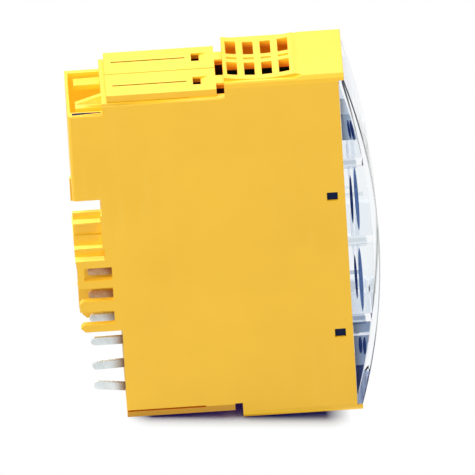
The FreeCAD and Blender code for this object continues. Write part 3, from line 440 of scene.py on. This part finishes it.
def plainCorner(vert, spec):
    if len(vert.link_edges) != bevel["cornerEdges"]:
        return False
    arms = [edge.other_vert(vert).co - vert.co for edge in vert.link_edges]
    if min(arm.length for arm in arms) < bevel["armPerRadius"] * spec["edge"]:
        return False
    turns = [math.degrees(arms[index].angle(arms[index - 1])) for index in range(len(arms))]
    return min(turns) > bevel["narrowest"] and max(turns) < spec["widest"]


def takesRadius(edge, spec, skip):
    if not edge.is_manifold or edge.calc_length() < spec["shortest"]:
        return False
    if edge.calc_face_angle(0.0) < math.radians(spec["sharpAngle"]):
        return False
    if skip and all(skip(vert.co) for vert in edge.verts):
        return False
    return all(plainCorner(vert, spec) for vert in edge.verts)


def roundedCopy(nodeName, pieceName, spec, skip=None):
    mesh = nodes[nodeName].data.copy()
    mesh.name = pieceName
    mesh.materials.clear()
    for material in (finishes[slotOf[nodeName]], *spec.get("others", {}).values()):
        mesh.materials.append(material)
    body = bmesh.new()
    body.from_mesh(mesh)
    bmesh.ops.remove_doubles(body, verts=body.verts, dist=bevel["weld"])
    flat = math.radians(spec["flatAngle"])
    bmesh.ops.dissolve_limit(body, angle_limit=flat, verts=body.verts, edges=body.edges)
    sharp = [edge for edge in body.edges if takesRadius(edge, spec, skip)]
    rounded = bmesh.ops.bevel(body, geom=sharp, offset=spec["edge"], offset_type="OFFSET",
                              segments=spec["steps"], profile=bevel["profile"], affect="EDGES",
                              clamp_overlap=False)
    for face in body.faces:
        face.smooth = True
    if "sorted" in spec:
        spec["sorted"](body, rounded["faces"])
    body.to_mesh(mesh)
    body.free()
    mesh.set_sharp_from_angle(angle=math.radians(spec["shadeAngle"]))
    piece = bpy.data.objects.new(pieceName, mesh)
    scene.collection.objects.link(piece)
    evenNormals = piece.modifiers.new("evenNormals", "WEIGHTED_NORMAL")
    evenNormals.weight = bevel["normalWeight"]
    evenNormals.keep_sharp = True
    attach(piece, "root")
    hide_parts(nodeName)
    return piece


# A face keeps its slot's own finish, which comes first, or takes one of the piece's others by name
def finishFace(face, spec, name):
    face.material_index = 1 + list(spec["others"]).index(name)


def within(value, span):
    return span[0] < value < span[1]


def cutAcross(body, geometry, place, normal):
    bmesh.ops.bisect_plane(body, geom=geometry, dist=bevel["cutWeld"], plane_co=place, plane_no=normal)


# Housing halves with the small radii of a moulded edge
housing = {
    "edge": 0.12 * mm, "steps": 2, "sharpAngle": 28.0, "flatAngle": 0.4, "shadeAngle": 14.0,
    "shortest": 2.5 * mm, "widest": 145.0, "upright": 0.4, "level": 0.7, "bodyHeight": 99.0 * mm,
    "others": {"inside": insidePaintedShade, "brown": holePaintedShade, "dark": holePaintedDark, "vent": ventPaintedShadeAndGlow,
               "ledge": ledgePaintedLight, "sill": sillPaintedLight, "hook": hookPaintedGlow, "groove": groovePaintedShade,
               "tongue": tongueShade},
    "cavityRear": 1.5 * mm, "cavityFloor": 2.2 * mm, "cavityRoof": 3.4 * mm, "cavitySide": 4.1 * mm,
    "wallArea": 300.0 * mm * mm, "pad": (1.2 * mm, 23.0 * mm), "padFloor": 97.9 * mm,
    "ventReach": 60.0 * mm, "ventSide": 9.0 * mm, "ventFloor": 96.5 * mm,
    "holes": (-6.3 * mm, 1.6 * mm), "holeLevels": (92.65 * mm, 96.45 * mm), "holeArea": 14.0 * mm * mm,
    "brownFrom": 95.95 * mm, "darkFrom": 94.9 * mm,
    "grooves": (5.9 * mm, 6.6 * mm), "grooveFront": -7.7 * mm, "grooveFloor": 95.95 * mm,
    "grooveTop": 96.45 * mm, "slit": (4.0 * mm, 4.5 * mm), "slitFront": -7.0 * mm,
    "tongueFront": 0.0, "sideReach": 12.3 * mm,
    "rearFront": -29.0 * mm, "sills": (22.0 * mm, 47.0 * mm), "ledges": (47.0 * mm, 72.0 * mm),
    "ledgeArea": 5.0 * mm * mm, "pocketFloor": 84.0 * mm, "pocketReach": 11.9 * mm,
}
boardLow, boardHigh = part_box("near_board")


def inCavity(point):
    levels = (housing["cavityFloor"], cadHigh.z - housing["cavityRoof"])
    deep = point.x > boardLow.x - housing["cavityRear"] and within(point.z, levels)
    return deep and abs(point.y) < abs(boardHigh.y) + housing["cavitySide"]


def leftSharp(point):
    onPad = within(point.x, housing["pad"]) and point.z > housing["padFloor"]
    return onPad or inCavity(point)


# The underside mirrors the top
def foldedLevel(point):
    return max(point.z, housing["bodyHeight"] - point.z)


def isHoleWall(face):
    middle = face.calc_center_median()
    inRow = within(middle.x, housing["holes"]) and within(foldedLevel(middle), housing["holeLevels"])
    return inRow and face.calc_area() < housing["holeArea"]


def isSide(face):
    return abs(face.normal.y) > housing["level"] and abs(face.calc_center_median().y) > housing["sideReach"]


def cutLevel(body, faces, level):
    edges = dict.fromkeys(edge for face in faces for edge in face.edges)
    corners = dict.fromkeys(vert for face in faces for vert in face.verts)
    cutAcross(body, [*corners, *edges, *faces], (0.0, 0.0, level), (0.0, 0.0, 1.0))
    body.normal_update()


# The key holes and the gaps beside the necks take painted shade that darkens with depth, and the tongues'
# grooves are painted dim
def shadeHoles(body):
    levels = (housing["brownFrom"], housing["darkFrom"])
    for level in (*levels, *(housing["bodyHeight"] - level for level in levels)):
        cutLevel(body, [face for face in body.faces if isHoleWall(face)], level)
    for face in body.faces:
        middle = face.calc_center_median()
        level = foldedLevel(middle)
        behind = housing["grooveFloor"] <= level < housing["grooveTop"] and middle.x < housing["grooveFront"]
        if behind and within(abs(middle.y), housing["grooves"]):
            finishFace(face, housing, "groove")
        if isHoleWall(face) and level < housing["brownFrom"]:
            finishFace(face, housing, "dark" if level < housing["darkFrom"] else "brown")


# The lower tongue's side takes painted shade for the module's own shadow, and the slit above it is painted
# dim
def shadeLowerTongue(body):
    slitFloor, slitRoof = housing["slit"]
    slitMiddle = (slitFloor + slitRoof) / 2
    cutLevel(body, [face for face in body.faces if isSide(face)], slitMiddle)
    for face in body.faces:
        middle = face.calc_center_median()
        if isSide(face) and middle.z < slitMiddle and middle.x < housing["tongueFront"]:
            finishFace(face, housing, "tongue")
        inSlit = abs(middle.z - slitMiddle) < slitRoof - slitFloor and middle.x < housing["slitFront"]
        if inSlit and abs(face.normal.z) > housing["level"]:
            finishFace(face, housing, "brown")


# Behind the block the ledges and sills take painted light, and the hook's pocket a painted glow for bounced
# light
def shadeRear(face, middle):
    if face.normal.z > housing["level"] and face.calc_area() > housing["ledgeArea"]:
        if within(middle.z, housing["ledges"]):
            finishFace(face, housing, "ledge")
        if within(middle.z, housing["sills"]):
            finishFace(face, housing, "sill")
    inPocket = middle.z > housing["pocketFloor"] and abs(middle.y) < housing["pocketReach"]
    if inPocket and face.normal.y < -housing["level"]:
        finishFace(face, housing, "hook")
    if inPocket and face.normal.x > housing["level"]:
        finishFace(face, housing, "ledge")


# Faces deep in the cavity take painted shade, and the vents' walls painted shade that deepens downwards with
# a painted glow
def sortHousing(body, rounded):
    shadeHoles(body)
    shadeLowerTongue(body)
    for face in body.faces:
        middle = face.calc_center_median()
        belowVents = middle.x > housing["pad"][0] and middle.z > housing["ventReach"]
        if inCavity(middle) and (belowVents or face.calc_area() > housing["wallArea"]):
            finishFace(face, housing, "inside")
        onPad = within(middle.x, housing["pad"]) and middle.z > housing["ventFloor"]
        if onPad and abs(middle.y) < housing["ventSide"] and abs(face.normal.z) < housing["upright"]:
            finishFace(face, housing, "vent")
        if middle.x < housing["rearFront"]:
            shadeRear(face, middle)


housing["sorted"] = sortHousing
for nodeName, pieceName in (("near_shell", "nearHousing"), ("far_shell", "farHousing")):
    piece = roundedCopy(nodeName, pieceName, housing, leftSharp)
    print(pieceName, len(piece.data.polygons), "faces")


# Clear cover with polished edges; each web is given by its level and by how far forward it shows
cover = {
    "edge": 0.32 * mm, "steps": 3, "sharpAngle": 30.0, "flatAngle": 0.05, "shadeAngle": 34.0,
    "shortest": 0.0, "widest": 181.0,
    "others": {"rim": rimPaintedRefraction, "catch": catchPaintedShade, "web": webPaintedBands, "toe": toePaintedRefraction},
    "seat": 31.1 * mm, "rimFrom": 12.3 * mm, "toe": 6.0 * mm, "catchFrom": 10.4 * mm,
    "webs": ((26.6 * mm, 34.5 * mm), (49.5 * mm, 36.0 * mm), (72.4 * mm, 34.5 * mm)),
    "halfWeb": 1.2 * mm, "slanted": (0.15, 0.98), "forward": 0.1, "sideways": 0.9, "downward": -0.7,
}


def insideCover(point):
    return abs(point.y) < cover["rimFrom"]


def cutWebs(body):
    cuts = []
    for web, front in cover["webs"]:
        for half in (-cover["halfWeb"], cover["halfWeb"]):
            cuts.append(((0.0, 0.0, web + half), (0.0, 0.0, 1.0)))
    for front in sorted({front for web, front in cover["webs"]}):
        cuts.append(((front, 0.0, 0.0), (1.0, 0.0, 0.0)))
    for place, normal in cuts:
        cutAcross(body, body.verts[:] + body.edges[:] + body.faces[:], place, normal)
    body.normal_update()


# The rim's rounded faces take painted dark refraction, the toe's underside a painted pale-blue refraction,
# the catches painted shade and the webs painted bands
def sortCover(body, rounded):
    for face in rounded:
        slanted = within(abs(face.normal.y), cover["slanted"]) and face.normal.x > cover["forward"]
        if slanted and abs(face.calc_center_median().y) > cover["rimFrom"]:
            finishFace(face, cover, "rim")
    cutWebs(body)
    for face in body.faces:
        middle = face.calc_center_median()
        sideways = abs(face.normal.y) > cover["sideways"]
        if face.normal.z < cover["downward"] and middle.z < cover["toe"]:
            finishFace(face, cover, "toe")
        if sideways and middle.x < cover["seat"] and abs(middle.y) > cover["catchFrom"]:
            finishFace(face, cover, "catch")
        for web, front in cover["webs"]:
            banded = abs(middle.z - web) < cover["halfWeb"] and within(middle.x, (cover["seat"], front))
            if banded and sideways and abs(middle.y) > cover["rimFrom"]:
                finishFace(face, cover, "web")


cover["sorted"] = sortCover
roundedCopy("front_lens", "clearCover", cover, insideCover)


# Thin plates, each between two outlines that run alike; the last finish covers all but their outer faces
def thinPlates(pieceName, materials, plates):
    body = bmesh.new()
    for outer, inner in plates:
        front = [body.verts.new(point) for point in outer]
        back = [body.verts.new(point) for point in inner]
        body.faces.new(front)
        rest = [body.faces.new(back[::-1])]
        for index in range(len(front)):
            after = (index + 1) % len(front)
            rest.append(body.faces.new((front[after], front[index], back[index], back[after])))
        for face in rest:
            face.material_index = len(materials) - 1
    bmesh.ops.recalc_face_normals(body, faces=body.faces)
    mesh = bpy.data.meshes.new(pieceName)
    body.to_mesh(mesh)
    body.free()
    for material in materials:
        mesh.materials.append(material)
    piece = bpy.data.objects.new(pieceName, mesh)
    scene.collection.objects.link(piece)
    return piece


# Slender leaves and shades beside the label: the leaves are painted images of the navy panel refracted by
# the cover, the shades painted shade, both coloured outside and white with a painted glow inside. A leaf
# runs from x, z to x, z with its half width, a shade from level to level, and the bow is the cover's inside,
# all in millimetres
paintedSheetShape = {"steps": 14, "fullness": 0.5, "leastReach": 0.04, "thick": 0.1 * mm, "leafSeat": 10.9 * mm,
         "shadeSeat": 10.6 * mm, "shadeRear": 31.2, "bowRadius": 170.8, "bowFront": 39.2, "bowWall": 1.6,
         "bowMiddle": 49.5, "bowGap": 0.15}
leaves = {
    "navyRefractionLeaves": (refractionNavy, ((32.86, 84.9, 33.34, 79.2, 0.33), (33.5, 84.8, 34.3, 78.6, 0.38),
                               (32.66, 68.7, 32.68, 54.3, 0.38), (32.6, 45.1, 32.68, 32.2, 0.35),
                               (32.75, 21.2, 32.75, 16.0, 0.48), (33.85, 21.0, 33.75, 15.6, 0.42))),
    "blueRefractionLeaves": (refractionBlue, ((33.85, 70.9, 34.15, 52.1, 0.5), (33.87, 47.2, 33.9, 28.2, 0.52))),
}
shades = {
    "endHaze": (paintedShadeHaze, ((91.0, 86.4),)),
    "endShade": (paintedShadeGrey, ((86.4, 78.7),)),
    "footShade": (paintedShadeSlate, ((25.2, 22.0), (21.2, 12.5))),
    "toeShade": (paintedShadeDeep, ((12.5, 4.2),)),
}


def bowInside(level):
    rise = level - paintedSheetShape["bowMiddle"]
    across = math.sqrt(paintedSheetShape["bowRadius"] ** 2 - rise * rise)
    return paintedSheetShape["bowFront"] - paintedSheetShape["bowWall"] - (paintedSheetShape["bowRadius"] - across) - paintedSheetShape["bowGap"]


def leafOutline(x0, z0, x1, z1, half):
    left, right = [], []
    for step in range(paintedSheetShape["steps"] + 1):
        share = step / paintedSheetShape["steps"]
        reach = max(half * (1 - (2 * share - 1) ** 2) ** paintedSheetShape["fullness"], paintedSheetShape["leastReach"])
        x, z = x0 + (x1 - x0) * share, z0 + (z1 - z0) * share
        left.append((x - reach, z))
        right.append((x + reach, z))
    return left + right[::-1]


def shadeOutline(top, bottom):
    left, right = [], []
    for step in range(paintedSheetShape["steps"] + 1):
        level = top + (bottom - top) * step / paintedSheetShape["steps"]
        left.append((paintedSheetShape["shadeRear"], level))
        right.append((bowInside(level), level))
    return left + right[::-1]


def paintedSheetPiece(pieceName, outer, outlines, seat):
    plates = []
    for outline in outlines:
        for side in (-1, 1):
            front = [(x * mm, side * seat, z * mm) for x, z in outline]
            back = [(x * mm, side * (seat - paintedSheetShape["thick"]), z * mm) for x, z in outline]
            plates.append((front, back))
    piece = thinPlates(pieceName, (outer, sheetInsidePaintedGlow), plates)
    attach(piece, "root")
    return piece


for pieceName, (outer, spans) in leaves.items():
    piece = paintedSheetPiece(pieceName, outer, [leafOutline(*span) for span in spans], paintedSheetShape["leafSeat"])
    if pieceName == "navyRefractionLeaves":
        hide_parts("label_clips")
for pieceName, (outer, spans) in shades.items():
    paintedSheetPiece(pieceName, outer, [shadeOutline(*span) for span in spans], paintedSheetShape["shadeSeat"])
print("cover made")


# A thin dark plate painted as the shadow in a slit along the top of the hook's near wall, in millimetres of
# x and of distance from the outer face
slit = {"outline": ((-37.8, 0.5), (-30.4, 1.0), (-30.4, 1.4), (-37.8, 1.5)), "level": 91.8 * mm,
        "thick": 0.04 * mm, "like": "near_contact_carrier"}


def hookSlitPaintedShadow():
    lower = [(x * mm, cadLow.y + inset * mm, slit["level"]) for x, inset in slit["outline"]]
    upper = [(x, y, z + slit["thick"]) for x, y, z in lower]
    piece = thinPlates("hookSlitPaintedShadow", (catchPaintedShade,), [(upper, lower)])
    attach(piece, "root")


hookSlitPaintedShadow()


# Blades with coined edges; the upper ones take a painted reflection of the yellow guard's light
blades = {"edge": 0.1 * mm, "steps": 2, "sharpAngle": 35.0, "flatAngle": 0.3, "shadeAngle": 34.0,
          "shortest": 0.0, "widest": 145.0, "guarded": 2}
for nodeName in nodes:
    if "_blade_" in nodeName:
        side, _, number = nodeName.partition("_blade_")
        piece = roundedCopy(nodeName, side + "Blade" + number, blades)
        if int(number) <= blades["guarded"]:
            piece.data.materials[0] = guardPaintedReflection

for nodeName, node in nodes.items():
    node.data.materials.clear()
    node.data.materials.append(finishes[slotOf[nodeName]])
print("pieces dressed")


# White table: the module rests on its block's rear edge and on the rear corner of its lower tongue
table = {
    "reach": 3.0, "blockEdge": 1.7 * mm, "tongueEdge": -28.1 * mm, "tongueRise": 2.5 * mm,
    "colour": (0.57, 0.62, 0.69), "under": (0.006, 0.005, 0.055), "bounce": (0.0, 0.0005, 0.05),
    "rough": 0.9, "specular": 0.1, "shadeReach": 4.5 * mm, "shut": 0.2, "clear": 0.85,
    "middle": 0.5 * mm, "halfLength": 22.0 * mm, "halfWidth": 12.5 * mm, "anyLevel": 1.0,
    "endHaste": 0.8, "fadeFrom": 0.2 * mm, "fadeTo": 5.4 * mm,
    "mirrored": (0.78, 0.80, 0.83), "dimFrom": -13.0 * mm, "dimTo": -18.0 * mm,
}


# Distance on the table from a block of the module's length and width
def awayFromModule(tree, place):
    steps = (
        ("SUBTRACT", (table["middle"], 0.0, 0.0)),
        ("ABSOLUTE", None),
        ("SUBTRACT", (table["halfLength"], table["halfWidth"], table["anyLevel"])),
        ("MAXIMUM", (0.0, 0.0, 0.0)),
        ("MULTIPLY", (table["endHaste"], 1.0, 1.0)),
    )
    for operation, numbers in steps:
        move = addNode(tree, "ShaderNodeVectorMath", operation=operation)
        tree.links.new(place, move.inputs[0])
        if numbers:
            move.inputs[1].default_value = numbers
        place = move.outputs["Vector"]
    away = addNode(tree, "ShaderNodeVectorMath", operation="LENGTH")
    tree.links.new(place, away.inputs[0])
    return away.outputs["Value"]


# The table takes a painted shadow where the module shuts it in, with a painted navy glow in it, on a darker
# grey-blue patch that fades to plain white around the module, and its mirror image is painted dim on the
# near side
def tableMaterial():
    material, tree, shader = newMaterial("tableWhite")
    opened = placeGroup(tree, crevicePaintedShade, {
        "Reach": table["shadeReach"], "Shut": table["shut"], "Clear": table["clear"]}).outputs["Open"]
    tree.links.new(blendColour(tree, opened, table["under"], table["colour"]), shader.inputs["Base Color"])
    tree.links.new(blendColour(tree, opened, table["bounce"], noLight), shader.inputs["Emission Color"])
    shader.inputs["Emission Strength"].default_value = 1.0
    shader.inputs["Roughness"].default_value = table["rough"]
    shader.inputs["Specular IOR Level"].default_value = table["specular"]
    place = objectPlace(tree)
    fade = ranged(tree, awayFromModule(tree, place), table["fadeFrom"], table["fadeTo"])
    glow = addNode(tree, "ShaderNodeEmission")
    faded = mixedShader(tree, fade, shader.outputs["BSDF"], glow.outputs["Emission"])
    path = addNode(tree, "ShaderNodeLightPath")
    glossy, through = path.outputs["Is Glossy Ray"], path.outputs["Is Transmission Ray"]
    reflected = computed(tree, "SUBTRACT", glossy, through, clamped=True)
    near = ranged(tree, axisOf(tree, place, "Y"), table["dimTo"], table["dimFrom"], 1.0, 0.0)
    dim = addNode(tree, "ShaderNodeEmission")
    dim.inputs["Color"].default_value = (*table["mirrored"], 1.0)
    dimmed = computed(tree, "MULTIPLY", reflected, near)
    seen = mixedShader(tree, dimmed, faded, dim.outputs["Emission"])
    tree.links.new(seen, tree.nodes["Material Output"].inputs["Surface"])
    return material


def tableTop():
    mesh = bpy.data.meshes.new("tableTop")
    reach = table["reach"]
    slope = table["tongueRise"] / (table["tongueEdge"] - table["blockEdge"])
    corners = []
    for x, y in ((-reach, -reach), (reach, -reach), (reach, reach), (-reach, reach)):
        corners.append((x, y, cadLow.z + slope * (x - table["blockEdge"])))
    mesh.from_pydata(corners, [], [(0, 1, 2, 3)])
    top = bpy.data.objects.new("tableTop", mesh)
    scene.collection.objects.link(top)
    mesh.materials.append(tableMaterial())


tableTop()


# Soft studio light: a wide softbox overhead, weaker ones by the camera and the rear, and a room that is dark
# low down by the camera
studio = {
    "ambient": (0.55, 0.55, 0.56),
    "dark": (0.035, 0.065, 0.19),
    "darkNear": (-0.35, 0.1),
    "darkLow": (0.2, 0.55),
    "boxes": {
        "overheadSoftbox": {"place": (-0.10, 0.14, 0.62), "size": 0.75, "power": 6.0},
        "frontSoftbox": {"place": (-0.28, -0.42, 0.32), "size": 0.35, "power": 1.13},
        "rearSoftbox": {"place": (-0.50, -0.02, 0.33), "size": 0.4, "power": 0.4},
    },
}


def softbox(name, spec):
    light = bpy.data.lights.new(name, "AREA")
    light.shape = "SQUARE"
    light.size = spec["size"]
    light.energy = spec["power"]
    lamp = bpy.data.objects.new(name, light)
    scene.collection.objects.link(lamp)
    lamp.location = spec["place"]
    aim = Vector((0.0, 0.0, cadHigh.z / 2)) - lamp.location
    lamp.rotation_euler = aim.to_track_quat("-Z", "Y").to_euler()


def studioRoom():
    world = bpy.data.worlds.new("studioRoom")
    scene.world = world
    world.use_nodes = True
    tree = world.node_tree
    plain = tree.nodes["Background"]
    plain.inputs["Color"].default_value = (*studio["ambient"], 1.0)
    direction = addNode(tree, "ShaderNodeTexCoord").outputs["Generated"]
    near = ranged(tree, axisOf(tree, direction, "Y"), *studio["darkNear"], 1.0, 0.0)
    low = ranged(tree, axisOf(tree, direction, "Z"), *studio["darkLow"], 1.0, 0.0)
    shown = addNode(tree, "ShaderNodeBackground")
    sky = blendColour(tree, computed(tree, "MULTIPLY", near, low), fullLight, studio["dark"])
    tree.links.new(sky, shown.inputs["Color"])
    white = addNode(tree, "ShaderNodeBackground")
    white.inputs["Color"].default_value = (*fullLight, 1.0)
    path = addNode(tree, "ShaderNodeLightPath")
    bent = computed(tree, "MAXIMUM", path.outputs["Is Glossy Ray"], path.outputs["Is Transmission Ray"])
    room = mixedShader(tree, bent, plain.outputs["Background"], shown.outputs["Background"])
    final = mixedShader(tree, path.outputs["Is Camera Ray"], room, white.outputs["Background"])
    tree.links.new(final, tree.nodes["World Output"].inputs["Surface"])


for boxName, spec in studio["boxes"].items():
    softbox(boxName, spec)
studioRoom()
print("table and light set")


# Camera: a long lens looking down at the near side, rolled as in the photograph
shot = {
    "imageSide": 475.0,
    "pixelsPerMetre": 3890.0,
    "elevation": 29.0,
    "yaw": -0.73,
    "roll": 3.4,
    "distance": 1.6,
    "clipStart": 0.05,
    "corner": (31.1 * mm, -12.5 * mm, 97.1 * mm),
    "cornerPixel": (338.4, 81.0),
}


def photoCamera():
    tilt = math.radians(shot["elevation"])
    yaw = math.radians(shot["yaw"])
    roll = math.radians(shot["roll"])
    back = Vector((math.sin(yaw) * math.cos(tilt), -math.cos(yaw) * math.cos(tilt), math.sin(tilt)))
    level = Vector((math.cos(yaw), math.sin(yaw), 0.0))
    upright = back.cross(level)
    right = level * math.cos(roll) - upright * math.sin(roll)
    up = level * math.sin(roll) + upright * math.cos(roll)
    half = shot["imageSide"] / 2
    offsetRight = (shot["cornerPixel"][0] - half) / shot["pixelsPerMetre"]
    offsetUp = (half - shot["cornerPixel"][1]) / shot["pixelsPerMetre"]
    target = Vector(shot["corner"]) - right * offsetRight - up * offsetUp
    data = bpy.data.cameras.new("photoCamera")
    data.type = "ORTHO"
    data.ortho_scale = shot["imageSide"] / shot["pixelsPerMetre"]
    data.clip_start = shot["clipStart"]
    camera = bpy.data.objects.new("photoCamera", data)
    scene.collection.objects.link(camera)
    turn = camera.matrix_world.copy()
    for row in range(3):
        turn[row][0] = right[row]
        turn[row][1] = up[row]
        turn[row][2] = back[row]
        turn[row][3] = (target + back * shot["distance"])[row]
    camera.matrix_world = turn
    scene.camera = camera


photoCamera()
bpy.context.view_layer.update()
